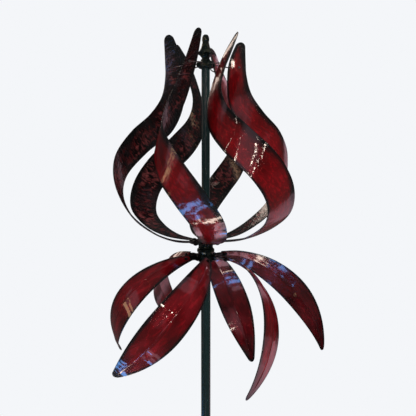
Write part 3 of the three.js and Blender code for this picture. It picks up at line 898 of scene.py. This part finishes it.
def build_upper_rotor():
    rod_angle = build_blades()
    tube_r = radius_of("rotor_tube")
    tube_walls = tube_profile(tube_r, TUBE_BORE, *heights_of("rotor_tube"))
    tube = lathe("rotor_tube_form", tube_walls, pole_finish)
    stand_for(tube, "upper_rotor", "rotor_tube")
    plate_profile = tube_profile(PLATE_HIGH.y, tube_r + GAP, PLATE_LOW.z, SEAT)
    plate = lathe("bottom_hub_plate_form", plate_profile, black_iron, edge=0.001)
    stand_for(plate, "upper_rotor", "bottom_hub_plate")
    build_top_hub(rod_angle)
    build_finial()


# ---------- lower rotor ----------
def leaf_surface():
    points = [Vector((0, 0, 0)), Vector((LEAF_PAD, 0, 0))]
    steps = 16
    length = (LEAF_LENGTH - LEAF_PAD) / steps
    x, z = LEAF_PAD, 0
    for i in range(steps):
        t = (i + 0.5) / steps
        bent = math.radians(LEAF_CURL_ROOT * t + (LEAF_CURL_TIP - LEAF_CURL_ROOT) * t * t / 2)
        x += length * math.cos(bent)
        z -= length * math.sin(bent)
        points.append(Vector((x, 0, z)))
    middle = by_length(spline(points))

    def at(s, v):
        ahead = tangent(middle, s, 2e-3)
        normal = Vector((-ahead.z, 0, ahead.x))
        keel = LEAF_KEEL * smoothstep(s, *LEAF_KEEL_STARTS) * (1 - s * s)
        fold = math.sqrt(v * v + CREASE_ROUND**2)
        rib = RIB_HEIGHT * smoothstep(s, *RIB_STARTS) * (1 - smoothstep(s, *RIB_ENDS))
        rib *= math.exp(-((v * leaf_width(s) / RIB_HALF_WIDTH) ** 2))
        point = middle(s) + normal * (keel * (0.5 - 2 * fold) + rib)
        return Vector((point.x, v * leaf_width(s), point.z))

    return at


def leaf_width(s):
    if s < LEAF_WIDEST:
        rise = math.sin(math.pi / 2 * s / LEAF_WIDEST)
        return LEAF_ROOT_WIDTH + (LEAF_WIDTH - LEAF_ROOT_WIDTH) * rise
    fall = math.cos(math.pi / 2 * (s - LEAF_WIDEST) / (1 - LEAF_WIDEST))
    return (LEAF_TIP_WIDTH + (LEAF_WIDTH - LEAF_TIP_WIDTH) * fall) * round_tip(s, LEAF_TIP_PART)


def turned_by(z_degrees, y_degrees, x_degrees):
    """A rotation about X, then Y, then Z."""
    angles = (math.radians(a) for a in (x_degrees, y_degrees, z_degrees))
    return Euler(angles, "XYZ").to_matrix().to_4x4()


def leaf_place(angle, droop, twist):
    """The frame of a leaf's root: X along the leaf, Y across it and Z out of its upper face."""
    spot = polar(LEAF_ROOT_RADIUS, angle + LEAF_ROOT_AHEAD, SEAT + LEAF_ROOT_Z)
    bend = turned_by(angle, droop, twist)
    return Matrix.Translation(spot) @ bend @ turned_by(LEAF_YAW, LEAF_DIP, LEAF_ROLL)


def bracket_surface(root_angle, place):
    under = -(LEAF_THICKNESS + BRACKET_THICKNESS) / 2 - GAP
    height = SEAT + LEAF_ROOT_Z
    path = spline(
        [
            polar(LOWER_HUB_BODY_R + 0.0007, root_angle, height - 0.002),
            polar(LOWER_HUB_BODY_R + 0.009, root_angle, height - 0.003),
            place @ Vector((-0.009, 0, under - 0.0015)),
            place @ Vector((LEAF_BOLT_AT, 0, under)),
            place @ Vector((LEAF_PAD - 0.003, 0, under)),
        ]
    )
    upright = Vector((0, 0, -1))
    pad_across = place.to_3x3() @ Vector((0, 1, 0))

    def at(s, v):
        across = upright.lerp(pad_across, smoothstep(s, 0, 0.5)).normalized()
        return path(s) + across * v * BRACKET_WIDTH * (1 - BRACKET_TAPER * smoothstep(s, 0.85, 1))

    return at


def build_leaves():
    surface = leaf_surface()
    skins = [leaf_under, leaf_upper, blade_rim]
    iron = [black_iron] * 3
    clamp_low = -LEAF_THICKNESS / 2 - GAP - BRACKET_THICKNESS
    leaf_rows = rows_along(LEAF_ROWS, LEAF_TIP_PART)
    bracket_rows = rows_along(BRACKET_ROWS)
    for i, (turn, droop, twist) in enumerate(LEAF_SETTINGS):
        angle = LEAF_FRONT_ANGLE + turn + i * 360 / len(LEAF_SETTINGS)
        place = leaf_place(angle, droop, twist)
        strap = bracket_surface(angle + LEAF_ROOT_AHEAD, place)
        at_bolt = place @ Matrix.Translation((LEAF_BOLT_AT, 0, 0))
        leaf, bracket, bolt = (f"{piece}_{i + 1}" for piece in ("leaf", "leaf_bracket", "leaf_bolt"))
        forms = {
            leaf: ribbon(
                leaf + "_form", surface, LEAF_THICKNESS, leaf_rows, LEAF_COLUMNS, skins, place, RIB_COLUMNS
            ),
            bracket: ribbon(
                bracket + "_form", strap, BRACKET_THICKNESS, bracket_rows, BRACKET_COLUMNS, iron
            ),
            bolt: hex_bolt(bolt + "_form", LEAF_BOLT_SHANK, clamp_low, LEAF_THICKNESS / 2, at_bolt),
        }
        for node, form in forms.items():
            stand_for(form, "lower_rotor", node)


def build_lower_hub():
    low, top = heights_of("lower_hub")
    flange_r = radius_of("lower_hub")
    body_r = LOWER_HUB_BODY_R
    flange_low = top - FLANGE_THICKNESS
    profile = [
        (LOWER_HUB_BORE, low),
        (body_r - 0.0015, low),
        (body_r, low + 0.0015),
        (body_r, flange_low - 0.0135),
        (body_r + 0.0008, flange_low - 0.0130),
        (body_r + 0.0008, flange_low - 0.0110),
        (body_r, flange_low - 0.0105),
        (body_r, flange_low - 0.004),
        (flange_r - 0.0015, flange_low),
        (flange_r, flange_low + 0.002),
        (flange_r, top - 0.002),
        (flange_r - 0.002, top),
        (LOWER_HUB_BORE, top),
    ]
    hub = lathe("lower_hub_form", profile, patina, edge=0.0008)
    stand_for(hub, "lower_rotor", "lower_hub")


# ---------- stand ----------
def build_poles():
    outer = radius_of("upper_pole")
    neck_r = POLE_BORE - GAP
    for node in ("lower_pole", "middle_pole", "upper_pole"):
        low, high = heights_of(node)
        if node == "upper_pole":
            profile = tube_profile(outer, POLE_BORE, low, high)
        else:
            shoulder = high - NECK_LENGTH - GAP
            profile = [
                (POLE_BORE, low),
                (outer, low),
                (outer, shoulder),
                (neck_r, shoulder),
                (neck_r, high),
                (NECK_BORE, high),
                (NECK_BORE, shoulder - 0.006),
                (POLE_BORE, shoulder - 0.012),
            ]
        pole = lathe(node + "_form", profile, pole_finish, edge=0.0008)
        stand_for(pole, "stand", node)


def build_collar():
    low, high = heights_of("spacer_collar")
    outer = radius_of("spacer_collar")
    groove = (low + high) / 2
    profile = [
        (COLLAR_BORE, low),
        (outer, low),
        (outer, groove - 0.0012),
        (outer - 0.0007, groove - 0.0007),
        (outer - 0.0007, groove + 0.0007),
        (outer, groove + 0.0012),
        (outer, high),
        (COLLAR_BORE, high),
    ]
    collar = lathe("spacer_collar_form", profile, patina, edge=0.001)
    stand_for(collar, "stand", "spacer_collar")


def build_fork():
    """The ground fork: a socket for the pole, a middle spike and three bent prongs with points."""
    lowest, top = heights_of("ground_fork")
    bore = radius_of("lower_pole") + GAP
    floor = heights_of("lower_pole")[0] - GAP
    socket_profile = [
        (0, lowest),
        (PRONG_R * 0.5, lowest + 0.010),
        (PRONG_R, lowest + 0.024),
        (PRONG_R, -0.004),
        (PRONG_R + 0.004, 0),
        (SOCKET_R - 0.001, 0),
        (SOCKET_R, 0.001),
        (SOCKET_R, top - 0.006),
        (SOCKET_R + 0.0010, top - 0.005),
        (SOCKET_R + 0.0010, top - 0.001),
        (SOCKET_R, top),
        (bore, top),
        (bore, floor),
        (0, floor),
    ]
    prong_z = floor - PRONG_R - 0.001
    pieces = [lathe("socket", socket_profile, black_iron, edge=0.0008)]
    for i in range(PRONG_COUNT):
        path = prong_path(90 + i * 360 / PRONG_COUNT, prong_z)
        pieces.append(swept("prong", path, prong_radius, black_iron, sides=24, steps=60))
    fork = joined("ground_fork_form", pieces)
    stand_for(fork, "stand", "ground_fork")


def prong_path(angle, height):
    """Out of the socket at a height, round a bend and straight down."""
    points = [
        polar(SOCKET_R - 0.006, angle, height),
        polar(PRONG_REACH - 0.014, angle, height),
        polar(PRONG_REACH, angle, height - 0.014),
        polar(PRONG_REACH, angle, PRONG_LOW),
    ]
    return by_length(spline(points))


def prong_radius(t):
    """A prong's radius at a part of its length: it tapers to a point at its end."""
    return PRONG_R * (1 - 0.75 * smoothstep(t, 0.92, 1))


def build_clamp_screw():
    """A thumb screw through the socket's wall, with scalloped grips round its knob."""
    low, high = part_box("fork_clamp_screw")
    height = (low.z + high.z) / 2
    shank_r, knob_r = 0.003, 0.0075
    inner_end, knob_low, knob_high = 0.013, 0.020, 0.030
    scallops, depth = 9, 0.0005
    rows = (  # radius, distance from the pole's axis, and 1 where the grips are
        (AXIS_R, inner_end, 0),
        (shank_r, inner_end, 0),
        (shank_r, knob_low, 0),
        (knob_r, knob_low, 0),
        (knob_r + 0.0010, knob_low + 0.0015, 1),
        (knob_r + 0.0010, knob_high - 0.0015, 1),
        (knob_r, knob_high, 0),
        (AXIS_R, knob_high, 0),
    )
    sides = 72
    toward = Matrix.Translation((0, 0, height)) @ Matrix.Rotation(math.radians(90), 4, "X")
    points = []
    for r, z, grip in rows:
        for j in range(sides):
            scallop = depth * grip * math.cos(math.tau * scallops * j / sides)
            points.append(toward @ polar(r + scallop, 360 * j / sides, z))
    screw = make_mesh("fork_clamp_screw_form", points, capped(sides, len(rows)), [black_iron], sharp=50)
    stand_for(screw, "stand", "fork_clamp_screw")


def finish_carried_nodes():
    """Gives the CAD nodes that stay in view, or inside, their finishes."""
    finishes = {
        "spindle": steel,
        "collar_set_screw": steel,
        "pole_plug": pole_finish,
        "lower_thrust_washer": nylon,
        "upper_thrust_washer": nylon,
        "lower_hub_bottom_bush": nylon,
        "lower_hub_top_bush": nylon,
        "tube_bottom_bush": nylon,
        "tube_top_bush": nylon,
    }
    for node, material in finishes.items():
        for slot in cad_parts[node].material_slots:
            slot.material = material


# ---------- the studio ----------
BACKGROUND = (0.905, 0.921, 0.947, 1)
CAMERA_AT = Vector((0.006, -1.230, 1.550))
CAMERA_PITCH = 84.78
CAMERA_LENS = 40.6
FILL = 0.55  # brightness of the soft light from all round
FILL_COLOUR = (0.95, 0.97, 1.0, 1)
LIGHT_DISTANCE = 4.0


def build_camera():
    data = bpy.data.cameras.new("camera")
    data.lens = CAMERA_LENS
    data.sensor_width = 36
    data.clip_start = 0.05
    camera = bpy.data.objects.new("camera", data)
    camera.location = CAMERA_AT
    camera.rotation_euler = (math.radians(CAMERA_PITCH), 0, 0)
    bpy.context.scene.collection.objects.link(camera)
    bpy.context.scene.camera = camera


def build_floor():
    """A round pale floor under the fork's spike."""
    radius, sides = 1.5, 96
    points = [polar(radius, 360 * j / sides, FLOOR_Z) for j in range(sides)]
    n = new_finish("floor")
    tone = n.noise(n.place(), 6, detail=3)
    colour = n.ramp(tone, ((0.3, (0.78, 0.79, 0.81)), (0.7, (0.82, 0.83, 0.85))))
    material = n.finish(Base_Color=colour, Roughness=0.8)
    floor = make_mesh("floor", points, [tuple(range(sides))], [material])
    floor.visible_glossy = False  # the world's own sheets are mirrored instead


def direction(azimuth, elevation):
    """A direction away from the object: azimuth 0 is towards the camera and 90 to its right."""
    a, e = math.radians(azimuth), math.radians(elevation)
    return Vector((math.sin(a) * math.cos(e), -math.cos(a) * math.cos(e), math.sin(e)))


SKY_BLUE = (0.17, 0.42, 1.0)
CREAM = (1.0, 0.82, 0.70)
PINK = (1.0, 0.60, 0.72)
WARM = (1.0, 0.62, 0.36)

# What the lacquer mirrors, each as azimuth, elevation, radius in degrees, colour and brightness: faint
# pink walls, cream and blue sheets low in front and below, and small lamps near the camera. Each covers
# the ones above it, so the faint and broad ones come first.
REFLECTED = (
    (0, 16, 20, PINK, 0.4),
    (-90, 8, 13, PINK, 0.35),
    (-60, -16, 8, PINK, 0.25),
    (72, 43, 12, PINK, 0.4),
    (125, -33, 16, PINK, 0.6),
    (146, 4, 9, PINK, 0.5),
    (129, 31, 5, PINK, 1.8),
    (-2, -45, 5, PINK, 0.9),
    (-165, -64, 12, PINK, 1.5),
    (-140, -80, 6, PINK, 2.0),
    (130, -78, 8, PINK, 1.4),
    (-152, 22, 6, CREAM, 2.5),
    (-77, -75, 4.5, CREAM, 9.0),
    (-30, -80, 3, CREAM, 7.0),
    (-64, -56, 8, SKY_BLUE, 5.5),
    (-78, -43, 4, SKY_BLUE, 4.5),
    (1, -54, 5, SKY_BLUE, 5.5),
    (4, -63, 5, SKY_BLUE, 5.5),
    (149, -63, 6, SKY_BLUE, 5.0),
    (-91, 3, 2.5, WARM, 2.2),
    (-82, -21, 1.5, WARM, 2.5),
    (-76, 43, 1.4, WARM, 12),
    (-77, 37, 1.4, WARM, 12),
    (-47, 26, 1.1, CREAM, 18),
    (-18, 18, 1.1, CREAM, 25),
    (-16, 11, 1.0, CREAM, 25),
    (-19, 60, 1.5, CREAM, 20),
    (12, 14, 1.0, CREAM, 25),
    (17, 9, 1.1, CREAM, 30),
    (27, 13, 1.1, CREAM, 22),
)


FAINT = 3  # up to this brightness a sheet has a blurred outline
CRISP, BLURRED = 0.10, 0.6  # how far an outline fades in and out, as a part of the radius
LAMP_RADIUS = 1.9  # a lamp is smaller than this and stays round, while a sheet's outline is ragged
RAGGED_SCALE, RAGGED_PUSH = 7, 0.14  # the size of the notches and how far they cut in
STUDIO_GLOW = ((0.0, 0.10), (0.30, 0.05), (0.50, 0.02), (0.70, 0.03), (1.0, 0.10))  # below to above


def ragged(n, toward):
    """The directions pushed to and fro by a noise, which makes a round outline ragged."""
    notches = n.noise(toward, RAGGED_SCALE, detail=3).outputs["Color"]
    push = n.add("ShaderNodeVectorMath", operation="SUBTRACT")
    n.give(push.inputs[0], notches)
    n.give(push.inputs[1], (0.5, 0.5, 0.5))
    pushed = n.add("ShaderNodeVectorMath", operation="MULTIPLY_ADD")
    n.give(pushed.inputs[0], push)
    n.give(pushed.inputs[1], (RAGGED_PUSH,) * 3)
    n.give(pushed.inputs[2], toward)
    return pushed


def patch_share(n, where, middle, radius, brightness):
    """1 inside a round patch of the world and 0 outside it, with a fading outline."""
    near = n.add("ShaderNodeVectorMath", operation="DOT_PRODUCT")
    n.give(near.inputs[0], where)
    n.give(near.inputs[1], middle)
    edge = math.cos(math.radians(radius))
    soft = (1 - edge) * (CRISP if brightness > FAINT else BLURRED)
    inputs = {"Value": near.outputs["Value"], "From Min": edge - soft, "From Max": edge + soft}
    return n.add("ShaderNodeMapRange", inputs)


def mirrored_colour(n):
    """The colour of the studio in each direction: a dim glow with the sheets and lamps on it."""
    toward = n.add("ShaderNodeTexCoord").outputs["Generated"]
    pushed = ragged(n, toward)
    height = n.add("ShaderNodeSeparateXYZ", {"Vector": toward}).outputs["Z"]
    grade = n.add("ShaderNodeMapRange", {"Value": height, "From Min": -1.0, "From Max": 1.0})
    colour = n.ramp(grade, STUDIO_GLOW)
    for azimuth, elevation, radius, tint, brightness in REFLECTED:
        where = toward if radius < LAMP_RADIUS else pushed
        share = patch_share(n, where, direction(azimuth, elevation), radius, brightness)
        light = tuple(c * brightness for c in tint) + (1,)
        colour = n.mix(share, colour, light)
    return colour


def build_world():
    """The camera sees a pale backdrop, the object mirrors the sheets and lamps, and is filled softly."""
    world = bpy.data.worlds.new("studio")
    bpy.context.scene.world = world
    n = Nodes(world)
    n.tree.nodes.clear()
    rays = n.add("ShaderNodeLightPath")
    backdrop = n.add("ShaderNodeBackground", {"Color": BACKGROUND})
    mirrored = n.add("ShaderNodeBackground", {"Color": mirrored_colour(n)})
    fill = n.add("ShaderNodeBackground", {"Color": FILL_COLOUR, "Strength": FILL})
    lit = n.add("ShaderNodeMixShader", {"Fac": rays.outputs["Is Glossy Ray"]})
    n.give(lit.inputs[1], fill)
    n.give(lit.inputs[2], mirrored)
    seen = n.add("ShaderNodeMixShader", {"Fac": rays.outputs["Is Camera Ray"]})
    n.give(seen.inputs[1], lit)
    n.give(seen.inputs[2], backdrop)
    n.add("ShaderNodeOutputWorld", {"Surface": seen})


def softbox(name, azimuth, elevation, size, strength, colour):
    """A square soft light that shapes the object but isn't mirrored in it."""
    data = bpy.data.lights.new(name, "AREA")
    data.shape = "SQUARE"
    data.size = size
    data.energy = strength
    data.color = colour
    light = bpy.data.objects.new(name, data)
    away = direction(azimuth, elevation)
    light.location = Vector((0, 0, SEAT)) + away * LIGHT_DISTANCE
    light.rotation_euler = away.to_track_quat("Z", "Y").to_euler()
    light.visible_glossy = False
    light.visible_camera = False
    bpy.context.scene.collection.objects.link(light)


def build_lights():
    softbox("front", azimuth=15, elevation=25, size=2.4, strength=60, colour=(1, 0.97, 0.94))
    softbox("left", azimuth=-75, elevation=30, size=2.0, strength=20, colour=(0.92, 0.96, 1))
    softbox("right", azimuth=80, elevation=15, size=2.0, strength=45, colour=(1, 0.93, 0.85))
    softbox("above", azimuth=160, elevation=70, size=2.0, strength=30, colour=(0.95, 0.97, 1))


scene = bpy.context.scene
scene.view_settings.view_transform = "Standard"
build_camera()
build_world()
build_floor()
build_lights()
build_upper_rotor()
build_leaves()
build_lower_hub()
build_poles()
build_collar()
build_fork()
build_clamp_screw()
finish_carried_nodes()
